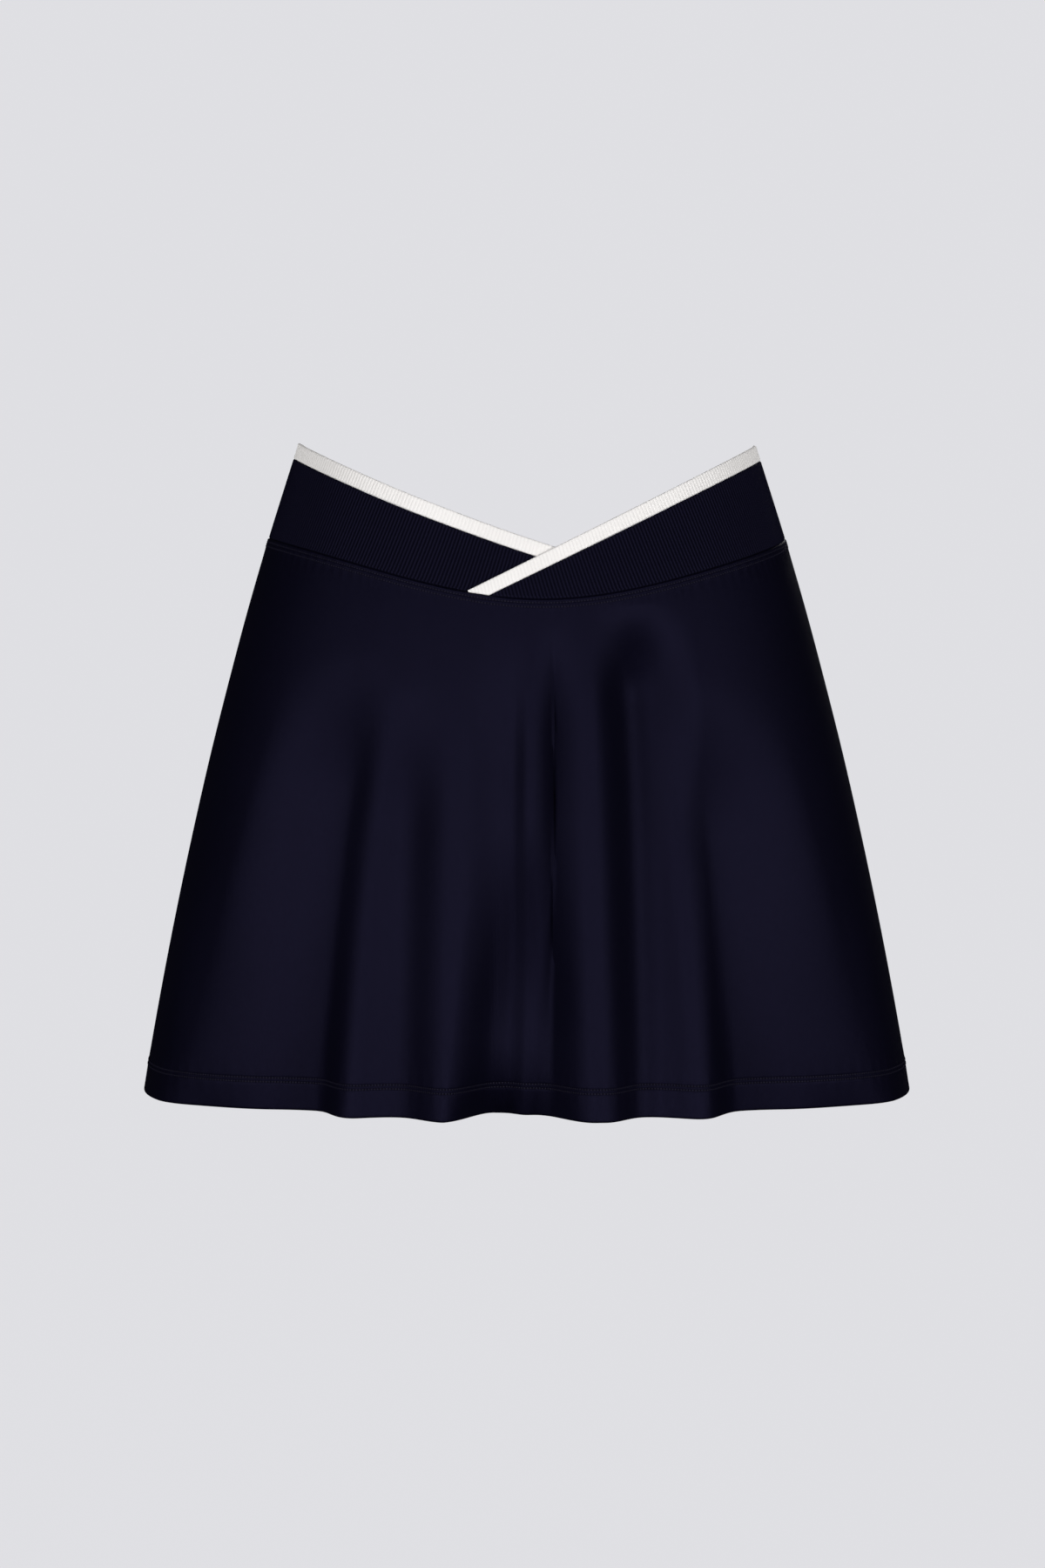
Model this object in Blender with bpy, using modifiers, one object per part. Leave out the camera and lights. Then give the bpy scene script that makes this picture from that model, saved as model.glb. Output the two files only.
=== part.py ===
"""A skort: a flared skirt on a ribbed waistband that crosses over in a V, with plain inner shorts.

Metres, +Z up. The front faces -Y and +X is to its viewer's right. The origin is on the waist's axis.
Places round the garment are angles in degrees from the front centre, growing towards +X, so the
right side seam is at 90, the back centre at 180 and the left side seam at -90 or 270.
"""

from collections import namedtuple
from math import ceil, cos, dist, pi, radians, sin, tan

import bmesh
import bpy
from mathutils import Vector

# Heights of the garment's lines
SIDE_SEAM_TOP = -0.025  # the waist seam at the side seams
FRONT_SEAM_DIP = 0.0318  # how far the waist seam drops at the front
BACK_SEAM_DIP = 0.060
SEAM_LOWEST_AT = 4.0  # the angle where the front of the seam is lowest
HEM = -0.334
HEM_TURN = 0.018  # cloth turned up inside the hem
HEM_STEP = 0.0006  # height over which the turned cloth begins
HEM_LAYERS = 2

# Cloth
SKIRT_WALL = 0.0012
BAND_WALL = 0.0020
SHORTS_WALL = 0.0010
GAP = 0.0003  # between pieces at a seam
SECTION_POWER = 2.25  # 2 would make every level section an ellipse

# The garment's form, from the hem up: half its width and its depth each way from the waist's axis
Level = namedtuple("Level", "height half_width front_depth back_depth")
GARMENT_LEVELS = (
    Level(-0.335, 0.2155, 0.1520, 0.1640),
    Level(-0.300, 0.2095, 0.1490, 0.1600),
    Level(-0.261, 0.2022, 0.1450, 0.1555),
    Level(-0.222, 0.1943, 0.1410, 0.1510),
    Level(-0.183, 0.1858, 0.1365, 0.1455),
    Level(-0.144, 0.1767, 0.1310, 0.1390),
    Level(-0.104, 0.1665, 0.1240, 0.1310),
    Level(-0.065, 0.1560, 0.1155, 0.1210),
    Level(-0.025, 0.1442, 0.1050, 0.1090),
    Level(0.026, 0.1280, 0.0920, 0.0940),
)

# The inner shorts' form above the legs
SHORTS_LEVELS = (
    Level(-0.215, 0.1645, 0.1060, 0.1220),
    Level(-0.183, 0.1635, 0.1020, 0.1260),
    Level(-0.144, 0.1610, 0.0985, 0.1270),
    Level(-0.104, 0.1560, 0.0985, 0.1250),
    Level(-0.065, 0.1490, 0.1060, 0.1170),
    Level(-0.025, 0.1400, 0.1030, 0.1070),
)

# Folds of the skirt. Each is a trough round a line from top_angle to hem_angle. It starts at
# top_height, is as deep as depth at full_height and as hem_depth at the hem. Its walls are as wide
# as left_top and right_top where it starts and as left_hem and right_hem at the hem, in degrees.
# crease is how sharp its bottom is, from 0, round, to 1.
Fold = namedtuple(
    "Fold",
    "top_angle hem_angle left_top left_hem right_top right_hem "
    "top_height full_height depth hem_depth crease",
)
FRONT_FOLDS = (
    Fold(-64.0, -64.0, 10.0, 10.0, 12.0, 12.0, -0.190, -0.300, 0.003, 0.006, 0.0),
    Fold(-40.5, -44.5, 17.0, 25.0, 9.5, 11.5, -0.085, -0.170, 0.017, 0.029, 0.0),
    Fold(-29.0, -27.0, 11.0, 14.0, 12.0, 10.0, -0.100, -0.185, 0.013, 0.015, 0.0),
    Fold(-3.5, -4.5, 12.0, 12.0, 4.5, 4.5, -0.075, -0.150, 0.006, 0.006, 0.0),
    Fold(7.0, 5.0, 6.0, 6.0, 8.5, 9.0, -0.070, -0.130, 0.012, 0.001, 1.0),
    Fold(5.5, -4.5, 16.0, 12.0, 12.0, 18.0, -0.165, -0.290, 0.024, 0.037, 0.0),
    Fold(28.0, 24.5, 13.0, 9.0, 14.0, 13.0, -0.058, -0.112, 0.022, 0.019, 0.0),
    Fold(40.0, 45.0, 10.0, 13.0, 18.0, 25.0, -0.100, -0.190, 0.016, 0.028, 0.0),
    Fold(64.0, 64.0, 12.0, 12.0, 10.0, 10.0, -0.190, -0.300, 0.003, 0.006, 0.0),
)
BACK_FOLDS = (
    Fold(133.0, 129.0, 13.0, 18.0, 10.0, 12.0, -0.125, -0.210, 0.008, 0.023, 0.0),
    Fold(150.0, 149.0, 7.0, 7.0, 8.0, 8.0, -0.135, -0.205, 0.006, 0.005, 0.5),
    Fold(168.0, 170.0, 9.0, 10.0, 7.0, 9.0, -0.145, -0.240, 0.008, 0.026, 0.2),
    Fold(184.0, 183.0, 6.0, 6.0, 9.0, 9.0, -0.140, -0.195, 0.007, 0.005, 0.5),
    Fold(201.0, 204.0, 8.0, 9.0, 9.0, 12.0, -0.140, -0.240, 0.009, 0.023, 0.2),
    Fold(216.0, 218.0, 7.0, 7.0, 6.0, 6.0, -0.150, -0.215, 0.006, 0.004, 0.5),
    Fold(230.0, 234.0, 10.0, 12.0, 13.0, 20.0, -0.125, -0.210, 0.009, 0.022, 0.0),
)

# The line where each band meets its tip: a height at the front centre, and its rise across in X
OVER_EDGE_CENTRE = -0.0450
OVER_EDGE_RISE = 0.482
UNDER_EDGE_CENTRE = -0.0325
UNDER_EDGE_RISE = -0.325
UNDER_EDGE_BEND = 0.55
BACK_EDGE_SIDE = 0.0181
BACK_EDGE_TILT = -0.0007
BACK_EDGE_DIP = 0.064
TIP_HEIGHT = 0.0085

# Where the bands cross
LEFT_MEETING = -45.0  # the over band's edge meets the waist seam between here and the centre
RIGHT_MEETING = 60.0  # and the under band's edge between the centre and here
DIVE_START = -36.0  # from here the under band turns in behind the other
DIVE_END = -20.0
DIVE_DEPTH = BAND_WALL + GAP
THIN_END = 0.0008  # height at which a tapered end is cut off

# Ribs of the knit band
RIB_PITCH = 0.0020
RIB_DEPTH = 0.0004
RIB_LEAN = tan(radians(20.0))  # at the front centre, fading to none at the sides
COLUMNS_PER_RIB = 2
RIBS_PER_INNER_STEP = 4
RIB_LEVEL = -0.030  # the level along which the ribs are counted

# The shorts' legs, below the crotch
SHORTS_DROP = 0.040  # height over which the shorts part from the skirt
CROTCH_FRONT_AND_BACK = -0.205
CROTCH_LOWEST = -0.245
LEG_CENTRE = 0.0835
LEG_TWIST = 45.0  # the leg's section meets the rise seams this far round from its own front
LegRing = namedtuple("LegRing", "height half_width front_depth back_depth")
LEG_RINGS = (
    LegRing(-0.256, 0.0800, 0.100, 0.112),
    LegRing(-0.284, 0.0792, 0.098, 0.108),
    LegRing(-0.310, 0.0785, 0.097, 0.105),
)

# How finely each surface is divided
SKIRT_FRONT_COLUMNS = 108
SKIRT_BACK_COLUMNS = 80
SKIRT_ROWS = 11
SKIRT_CENTRE_SHARE = 0.74  # below 1, columns crowd towards the panel's centre
TIP_COLUMN_WIDTH = 0.0055
SHORTS_OUTER_COLUMNS = 26
SHORTS_THIGH_COLUMNS = 8
SHORTS_ROWS = 5

# How closely a place is worked out
SIDE_STEP = 0.05  # degrees each side of a point, between which its section's direction is taken
FINE_STEPS = 2000  # along an arc that is shared out evenly
TRIES = 16  # for a place that is found by coming nearer to it

Finish = namedtuple("Finish", "colour roughness")
NAVY_JERSEY = Finish((0.011, 0.009, 0.023), 0.75)
NAVY_RIB = Finish((0.010, 0.008, 0.021), 0.80)
OFF_WHITE_RIB = Finish((0.75, 0.71, 0.69), 0.85)


def remove_everything():
    for thing in list(bpy.data.objects):
        bpy.data.objects.remove(thing, do_unlink=True)


def ease(share):
    share = min(max(share, 0.0), 1.0)
    return share * share * (3 - 2 * share)


def blend(first, second, share):
    return first + (second - first) * share


def sizes_at(levels, height):
    """The sizes at a height, on a smooth curve through a table of levels."""
    height = min(max(height, levels[0].height), levels[-1].height)
    low = max(i for i in range(len(levels) - 1) if levels[i].height <= height)

    def slope(i):
        below = levels[max(i - 1, 0)]
        above = levels[min(i + 1, len(levels) - 1)]
        rise = above.height - below.height
        return [(b - a) / rise for a, b in zip(below[1:], above[1:])]

    step = levels[low + 1].height - levels[low].height
    t = (height - levels[low].height) / step
    sizes = []
    rows = zip(levels[low][1:], levels[low + 1][1:], slope(low), slope(low + 1))
    for start, end, start_slope, end_slope in rows:
        value = start * (1 + 2 * t) * (1 - t) ** 2 + end * t * t * (3 - 2 * t)
        value += step * (start_slope * t * (1 - t) ** 2 + end_slope * t * t * (t - 1))
        sizes.append(value)
    return sizes


def section_point(angle, sizes):
    """A point of a level section, as (x, y), in the direction of an angle."""
    half_width, front_depth, back_depth = sizes
    across, ahead = sin(radians(angle)), cos(radians(angle))
    depth = front_depth if ahead > 0 else back_depth
    spread = (abs(across) / half_width) ** SECTION_POWER + (abs(ahead) / depth) ** SECTION_POWER
    radius = spread ** (-1 / SECTION_POWER)
    return radius * across, -radius * ahead


def form_point(levels, angle, height, inset=0.0):
    """A point of the form at an angle and a height, moved in by inset square to its section."""
    sizes = sizes_at(levels, height)
    x, y = section_point(angle, sizes)
    left, right = section_point(angle - SIDE_STEP, sizes), section_point(angle + SIDE_STEP, sizes)
    inward = Vector((-(right[1] - left[1]), right[0] - left[0], 0)).normalized()
    return Vector((x, y, height)) + inward * inset


def seam_height(angle):
    dip = FRONT_SEAM_DIP if cos(radians(angle)) > 0 else BACK_SEAM_DIP
    return SIDE_SEAM_TOP - dip * cos(radians(angle - SEAM_LOWEST_AT)) ** 2


def fold_depth(folds, angle, height):
    """How far the folds push the skirt in at an angle and a height."""
    total = 0.0
    for fold in folds:
        down = min(max((fold.top_height - height) / (fold.top_height - HEM), 0.0), 1.0)
        off = angle - blend(fold.top_angle, fold.hem_angle, down)
        left = blend(fold.left_top, fold.left_hem, down)
        right = blend(fold.right_top, fold.right_hem, down)
        off = min(abs(off) / (left if off < 0 else right), 1.0)
        trough = blend(0.5 + 0.5 * cos(pi * off), (1 - off) ** 2, fold.crease)
        start = ease((fold.top_height - height) / (fold.top_height - fold.full_height))
        below = min(max((fold.full_height - height) / (fold.full_height - HEM), 0.0), 1.0)
        total += start * blend(fold.depth, fold.hem_depth, below**2) * trough
    return total


def make_object(name, mesh_maker, finish):
    """A named object in the garment's collection, with its own material."""
    mesh = bpy.data.meshes.new(name)
    mesh_maker.to_mesh(mesh)
    mesh_maker.free()
    mesh.shade_smooth()
    made = bpy.data.objects.new(name, mesh)
    garment.objects.link(made)
    material = bpy.data.materials.new(name)
    material.use_nodes = True
    shader = material.node_tree.nodes["Principled BSDF"]
    shader.inputs["Base Color"].default_value = (*finish.colour, 1.0)
    shader.inputs["Roughness"].default_value = finish.roughness
    shader.inputs["Metallic"].default_value = 0.0
    mesh.materials.append(material)
    return made


def thicken(made, wall, group=""):
    """Gives an open surface its wall, on the inside."""
    solid = made.modifiers.new("wall", "SOLIDIFY")
    solid.thickness = wall
    solid.offset = -1
    solid.vertex_group = group


def grid_surface(columns, rows, place):
    """A grid whose points are placed by their share across, from -1 to 1, and their row down."""
    surface = bmesh.new()
    bmesh.ops.create_grid(surface, x_segments=columns, y_segments=rows, size=1.0)
    for point in surface.verts:
        point.co = place(point.co.x, round((1 - point.co.y) * rows / 2))
    return surface


# Skirt


def skirt_height(angle, row):
    top = seam_height(angle) - GAP / 2
    turned_at = HEM + HEM_TURN
    if row >= SKIRT_ROWS:
        return HEM
    if row == SKIRT_ROWS - 1:
        return turned_at
    return blend(top, turned_at + HEM_STEP, row / (SKIRT_ROWS - 2))


def skirt_panel(name, centre_angle, columns, folds):
    """Half the skirt, from side seam to side seam round a centre angle."""
    top_radius = GARMENT_LEVELS[-2].half_width
    half_turn = 90.0 - GAP / 2 / top_radius * 180 / pi

    def place(across, row):
        even = SKIRT_CENTRE_SHARE * across + (1 - SKIRT_CENTRE_SHARE) * across**3
        angle = centre_angle + half_turn * even
        height = skirt_height(angle, row)
        return form_point(GARMENT_LEVELS, angle, height, fold_depth(folds, angle, height))

    surface = grid_surface(columns, SKIRT_ROWS, place)
    panel = make_object(name, surface, NAVY_JERSEY)
    turned = panel.vertex_groups.new(name="layers")
    plain_points, turned_points = [], []
    for point in panel.data.vertices:
        layer = turned_points if point.co.z < HEM + HEM_TURN + HEM_STEP / 2 else plain_points
        layer.append(point.index)
    turned.add(plain_points, 1 / HEM_LAYERS, "REPLACE")
    turned.add(turned_points, 1.0, "REPLACE")
    thicken(panel, HEM_LAYERS * SKIRT_WALL, "layers")


# Waistband


def edge_height(angle, line):
    """The height at an angle of an edge whose height is a line of its own x."""
    height = RIB_LEVEL
    for _ in range(TRIES):
        height = line(section_point(angle, sizes_at(GARMENT_LEVELS, height))[0])
    return height


def over_edge(angle):
    return edge_height(angle, lambda x: OVER_EDGE_CENTRE + OVER_EDGE_RISE * x)


def under_edge(angle):
    return edge_height(
        angle, lambda x: UNDER_EDGE_CENTRE + UNDER_EDGE_RISE * x + UNDER_EDGE_BEND * x * x
    )


def back_edge(angle):
    dip = BACK_EDGE_DIP * cos(radians(angle)) ** 2
    return BACK_EDGE_SIDE + BACK_EDGE_TILT * sin(radians(angle)) - dip


def flush(angle):
    return 0.0


def behind_the_other(angle):
    return DIVE_DEPTH * ease((angle - DIVE_START) / (DIVE_END - DIVE_START))


def meeting_angle(edge, lift, outer_angle):
    """Where an edge, lifted so far, comes down to the waist seam, between 0 and an outer angle."""
    above, below = 0.0, outer_angle
    for _ in range(TRIES):
        middle = (above + below) / 2
        if edge(middle) + lift - seam_height(middle) > GAP + THIN_END:
            above = middle
        else:
            below = middle
    return above


def even_angles(first, last, width, multiple=1):
    """Angles about an arc of width apart along the waist, in a whole number of multiples."""
    fine = [blend(first, last, i / FINE_STEPS) for i in range(FINE_STEPS + 1)]
    sizes = sizes_at(GARMENT_LEVELS, RIB_LEVEL)
    along = [0.0]
    for start, end in zip(fine, fine[1:]):
        along.append(along[-1] + dist(section_point(start, sizes), section_point(end, sizes)))
    count = multiple * ceil(along[-1] / width / multiple)
    angles = []
    at = 0
    for i in range(count):
        while along[at] < along[-1] * i / count:
            at += 1
        angles.append(fine[at])
    return angles + [last]


def leaning_top(angle, edge, lean):
    """Where a rib that starts on the waist seam at an angle reaches the band's top edge."""
    bottom = seam_height(angle) + GAP / 2
    radius = sizes_at(GARMENT_LEVELS, RIB_LEVEL)[1]
    turn = lean * cos(radians(angle)) / radius * 180 / pi
    rise = 0.0
    for _ in range(TRIES):
        rise = max(edge(angle + turn * rise) - GAP / 2 - bottom, THIN_END)
    return angle + turn * rise, bottom + rise


def band_wall(name, columns, inset, groove, step, finish):
    """A wall round part of the waist, with grooves outside and a plain inside.

    Each column is its lower and its upper end, as (angle, height). Every other one is set in by
    the groove's depth, and the inside has one column for each step of them.
    """
    wall = bmesh.new()
    outer, inner = [], []
    for i, ends in enumerate(columns):
        sides = [(outer, groove * (i % COLUMNS_PER_RIB))]
        if i % step == 0:
            sides.append((inner, BAND_WALL))
        for side, depth in sides:
            points = [form_point(GARMENT_LEVELS, a, z, inset(a) + depth) for a, z in ends]
            side.append([wall.verts.new(point) for point in points])
    for left, right in zip(outer, outer[1:]):
        wall.faces.new((left[0], right[0], right[1], left[1]))
    for k, (left, right) in enumerate(zip(inner, inner[1:])):
        wall.faces.new((left[0], left[1], right[1], right[0]))
        ribs = outer[k * step : (k + 1) * step + 1]
        middle = step // 2
        for i, (start, end) in enumerate(zip(ribs, ribs[1:])):
            near = left if i < middle else right
            wall.faces.new((start[0], near[0], end[0]))
            wall.faces.new((start[1], end[1], near[1]))
        wall.faces.new((left[0], right[0], ribs[middle][0]))
        wall.faces.new((left[1], ribs[middle][1], right[1]))
    wall.faces.new((inner[0][0], outer[0][0], outer[0][1], inner[0][1]))
    wall.faces.new((inner[-1][0], inner[-1][1], outer[-1][1], outer[-1][0]))
    bmesh.ops.recalc_face_normals(wall, faces=wall.faces)
    make_object(name, wall, finish)


def ribbed_band(name, first, last, edge, inset, lean):
    """A band of ribbed knit from the waist seam up to its tip."""
    step = COLUMNS_PER_RIB * RIBS_PER_INNER_STEP
    columns = []
    for angle in even_angles(first, last, RIB_PITCH / COLUMNS_PER_RIB, step):
        foot = (angle, seam_height(angle) + GAP / 2)
        columns.append((foot, leaning_top(angle, edge, lean)))
    band_wall(name, columns, inset, RIB_DEPTH, step, NAVY_RIB)


def tip_strip(name, first, last, edge, inset):
    """The off-white strip along a band's top edge, cut off along the waist seam where they meet."""
    columns = []
    for angle in even_angles(first, last, TIP_COLUMN_WIDTH):
        low = max(edge(angle), seam_height(angle)) + GAP / 2
        high = max(edge(angle) + TIP_HEIGHT, low + THIN_END)
        columns.append(((angle, low), (angle, high)))
    band_wall(name, columns, inset, 0.0, 1, OFF_WHITE_RIB)


# Inner shorts


def shorts_point(angle, height):
    """The shorts hang from the waist seam just inside the skirt, then follow the hips."""
    seam_side = form_point(GARMENT_LEVELS, angle, height, SKIRT_WALL + GAP)
    hip_side = form_point(SHORTS_LEVELS, angle, height)
    return seam_side.lerp(hip_side, ease((seam_height(angle) - height) / SHORTS_DROP))


def leg_point(share_round, ring):
    """A point of a leg's ring: share 0 to 1 goes round its outside, and 1 to 2 its inner thigh."""
    outside = 180.0 + 2 * LEG_TWIST
    if share_round <= 1:
        turn = -LEG_TWIST + outside * share_round
    else:
        turn = 180 + LEG_TWIST + (360 - outside) * (share_round - 1)
    x, y = section_point(turn, ring[1:])
    return Vector((LEG_CENTRE + x, y, ring.height))


def shorts_rings(side):
    """The rings of one leg, from the waist down, for the +X side."""
    outer = [i / SHORTS_OUTER_COLUMNS for i in range(SHORTS_OUTER_COLUMNS + 1)]
    thigh = [1 + i / SHORTS_THIGH_COLUMNS for i in range(1, SHORTS_THIGH_COLUMNS)]
    rings = []
    for row in range(SHORTS_ROWS + 1):
        ring = []
        for share in outer:
            angle = side * 180 * share
            top = seam_height(angle) - GAP
            point = shorts_point(angle, blend(top, CROTCH_FRONT_AND_BACK, row / SHORTS_ROWS))
            ring.append(Vector((max(side * point.x, GAP / 2), point.y, point.z)))
        rings.append(ring)
    front, back = rings[-1][0], rings[-1][-1]
    for share in thigh:
        along = share - 1
        point = back.lerp(front, along)
        point.z = blend(CROTCH_LOWEST, point.z, (2 * along - 1) ** 2)
        rings[-1].append(point)
    for leg_ring in LEG_RINGS:
        rings.append([leg_point(share, leg_ring) for share in outer + thigh])
    return rings


def shorts_leg(name, side):
    """One leg: open at the waist and the leg's hem, and along the rise seams to the crotch."""
    leg = bmesh.new()
    made = []
    for ring in shorts_rings(side):
        made.append([leg.verts.new((side * p.x, p.y, p.z)) for p in ring])
    for upper, lower in zip(made, made[1:]):
        count = len(upper)
        closed = count > SHORTS_OUTER_COLUMNS + 1
        for i in range(count if closed else count - 1):
            j = (i + 1) % count
            leg.faces.new((upper[i], lower[i], lower[j], upper[j]))
    if side < 0:
        bmesh.ops.reverse_faces(leg, faces=leg.faces)
    thicken(make_object(name, leg, NAVY_JERSEY), SHORTS_WALL)


remove_everything()
garment = bpy.data.collections.new("skort")
bpy.context.scene.collection.children.link(garment)

skirt_panel("skirt_front", 0.0, SKIRT_FRONT_COLUMNS, FRONT_FOLDS)
skirt_panel("skirt_back", 180.0, SKIRT_BACK_COLUMNS, BACK_FOLDS)

side_gap = GAP / 2 / GARMENT_LEVELS[-1].half_width * 180 / pi
left_side, right_side = -90 + side_gap, 90 - side_gap
back_start, back_end = 90 + side_gap, 270 - side_gap
under_band_end = meeting_angle(under_edge, 0.0, RIGHT_MEETING)
under_tip_end = meeting_angle(under_edge, TIP_HEIGHT, RIGHT_MEETING)
over_band_end = meeting_angle(over_edge, 0.0, LEFT_MEETING)
over_tip_end = meeting_angle(over_edge, TIP_HEIGHT, LEFT_MEETING)
ribbed_band("waistband_front_under", left_side, under_band_end, under_edge, behind_the_other, RIB_LEAN)
ribbed_band("waistband_front_over", over_band_end, right_side, over_edge, flush, -RIB_LEAN)
ribbed_band("waistband_back", back_start, back_end, back_edge, flush, 0.0)
tip_strip("tip_front_under", left_side, under_tip_end, under_edge, behind_the_other)
tip_strip("tip_front_over", over_tip_end, right_side, over_edge, flush)
tip_strip("tip_back", back_start, back_end, back_edge, flush)

shorts_leg("shorts_right", 1)
shorts_leg("shorts_left", -1)
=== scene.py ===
"""The looks of a skort: a navy jersey skirt on a ribbed, pale-tipped waistband that crosses in a V.

Metres, +Z up, in the frame's own place. Places round the garment are angles in degrees from the
front centre, growing towards +X, so the side seams are at 90 and -90 and the back centre at 180.
The form, its folds and its edges have the sizes that the solids are made from, but for two of the
front's folds: the middle one is drawn as two beside each other, and the one left of it is a little
deeper at the hem. The cloth here is finer: round ribs, rolled seam edges, a turned hem, sewn rows
and a little unevenness.
"""

from collections import namedtuple
from math import cos, pi, radians, sin, tan

import bpy
import numpy as np
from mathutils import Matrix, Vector


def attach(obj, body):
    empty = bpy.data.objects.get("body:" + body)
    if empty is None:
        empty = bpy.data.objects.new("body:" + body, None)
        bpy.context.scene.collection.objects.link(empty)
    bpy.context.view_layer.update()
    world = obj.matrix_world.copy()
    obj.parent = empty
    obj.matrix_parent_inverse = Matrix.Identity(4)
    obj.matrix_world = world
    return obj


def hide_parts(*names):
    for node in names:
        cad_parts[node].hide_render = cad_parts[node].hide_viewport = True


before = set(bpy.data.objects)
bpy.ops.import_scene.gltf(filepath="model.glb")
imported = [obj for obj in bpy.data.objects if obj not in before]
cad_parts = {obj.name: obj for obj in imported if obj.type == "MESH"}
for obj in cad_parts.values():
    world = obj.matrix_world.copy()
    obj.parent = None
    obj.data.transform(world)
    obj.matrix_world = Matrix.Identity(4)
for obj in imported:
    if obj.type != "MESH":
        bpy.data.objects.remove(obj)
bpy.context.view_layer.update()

# Heights of the garment's lines
SIDE_SEAM_TOP = -0.025
FRONT_SEAM_DIP = 0.0318
BACK_SEAM_DIP = 0.060
SEAM_LOWEST_AT = 4.0
HEM = -0.334

# Cloth. Inside the garment the pieces lie GAP apart. The seams that show are drawn closer, and
# pieces pass the side seams, and the legs pass the middle, by SIDE_LAP, so no light comes through.
# The form's level sections are ovals of SECTION_POWER, where 2 would be an ellipse.
SKIRT_WALL = 0.0012
BAND_WALL = 0.0020
SHORTS_WALL = 0.0010
GAP = 0.0003
SEAM_GAP = 0.00006
SIDE_LAP = 0.00002
SECTION_POWER = 2.25

# The form, from the hem up: half its width and its depth each way from the waist's axis
Level = namedtuple("Level", "height half_width front_depth back_depth")
GARMENT_LEVELS = (
    Level(-0.335, 0.2155, 0.1520, 0.1640),
    Level(-0.300, 0.2095, 0.1490, 0.1600),
    Level(-0.261, 0.2022, 0.1450, 0.1555),
    Level(-0.222, 0.1943, 0.1410, 0.1510),
    Level(-0.183, 0.1858, 0.1365, 0.1455),
    Level(-0.144, 0.1767, 0.1310, 0.1390),
    Level(-0.104, 0.1665, 0.1240, 0.1310),
    Level(-0.065, 0.1560, 0.1155, 0.1210),
    Level(-0.025, 0.1442, 0.1050, 0.1090),
    Level(0.026, 0.1280, 0.0920, 0.0940),
)
SHORTS_LEVELS = (
    Level(-0.215, 0.1645, 0.1060, 0.1220),
    Level(-0.183, 0.1635, 0.1020, 0.1260),
    Level(-0.144, 0.1610, 0.0985, 0.1270),
    Level(-0.104, 0.1560, 0.0985, 0.1250),
    Level(-0.065, 0.1490, 0.1060, 0.1170),
    Level(-0.025, 0.1400, 0.1030, 0.1070),
)

# Folds of the skirt. Each is a trough round a line from top_angle to hem_angle. It starts at
# top_height, is as deep as depth at full_height and as hem_depth at the hem. Its walls are as wide
# as left_top and right_top where it starts and as left_hem and right_hem at the hem, in degrees.
# crease is how sharp its bottom is, from 0, round, to 1.
Fold = namedtuple(
    "Fold",
    "top_angle hem_angle left_top left_hem right_top right_hem "
    "top_height full_height depth hem_depth crease",
)
FRONT_FOLDS = (
    Fold(-64.0, -64.0, 10.0, 10.0, 12.0, 12.0, -0.190, -0.300, 0.003, 0.006, 0.0),
    Fold(-40.5, -44.5, 17.0, 25.0, 9.5, 11.5, -0.085, -0.170, 0.017, 0.029, 0.0),
    Fold(-29.0, -26.5, 11.0, 14.0, 12.0, 10.5, -0.100, -0.185, 0.013, 0.017, 0.0),
    Fold(-3.5, -4.5, 12.0, 12.0, 4.5, 4.5, -0.075, -0.150, 0.006, 0.006, 0.0),
    Fold(7.0, 5.0, 6.0, 6.0, 8.5, 9.0, -0.070, -0.130, 0.012, 0.001, 1.0),
    Fold(-2.0, -7.5, 10.0, 9.5, 8.0, 8.9, -0.165, -0.290, 0.019, 0.034, 0.0),
    Fold(3.0, 1.5, 8.0, 8.9, 10.0, 12.0, -0.165, -0.290, 0.021, 0.031, 0.0),
    Fold(28.0, 24.5, 13.0, 9.0, 14.0, 13.0, -0.058, -0.112, 0.022, 0.019, 0.0),
    Fold(40.0, 45.0, 10.0, 13.0, 18.0, 25.0, -0.100, -0.190, 0.016, 0.028, 0.0),
    Fold(64.0, 64.0, 12.0, 12.0, 10.0, 10.0, -0.190, -0.300, 0.003, 0.006, 0.0),
)
BACK_FOLDS = (
    Fold(133.0, 129.0, 13.0, 18.0, 10.0, 12.0, -0.125, -0.210, 0.008, 0.023, 0.0),
    Fold(150.0, 149.0, 7.0, 7.0, 8.0, 8.0, -0.135, -0.205, 0.006, 0.005, 0.5),
    Fold(168.0, 170.0, 9.0, 10.0, 7.0, 9.0, -0.145, -0.240, 0.008, 0.026, 0.2),
    Fold(184.0, 183.0, 6.0, 6.0, 9.0, 9.0, -0.140, -0.195, 0.007, 0.005, 0.5),
    Fold(201.0, 204.0, 8.0, 9.0, 9.0, 12.0, -0.140, -0.240, 0.009, 0.023, 0.2),
    Fold(216.0, 218.0, 7.0, 7.0, 6.0, 6.0, -0.150, -0.215, 0.006, 0.004, 0.5),
    Fold(230.0, 234.0, 10.0, 12.0, 13.0, 20.0, -0.125, -0.210, 0.009, 0.022, 0.0),
)

# The line where each band meets its tip: a height at the front centre, and its rise across in X
OVER_EDGE_CENTRE = -0.0450
OVER_EDGE_RISE = 0.482
UNDER_EDGE_CENTRE = -0.0325
UNDER_EDGE_RISE = -0.325
UNDER_EDGE_BEND = 0.55
BACK_EDGE_SIDE = 0.0181
BACK_EDGE_TILT = -0.0007
BACK_EDGE_DIP = 0.064
TIP_HEIGHT = 0.0085

# Where the bands cross. Each front edge comes down to the waist seam nearer the middle than its
# meeting angle. From DIVE_START to DIVE_END the under band turns in by DIVE_DEPTH, behind the over
# band. No band or tip gets lower than THIN_END.
LEFT_MEETING = -45.0
RIGHT_MEETING = 60.0
DIVE_START = -36.0
DIVE_END = -20.0
DIVE_DEPTH = BAND_WALL + GAP
THIN_END = 0.0008

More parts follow.
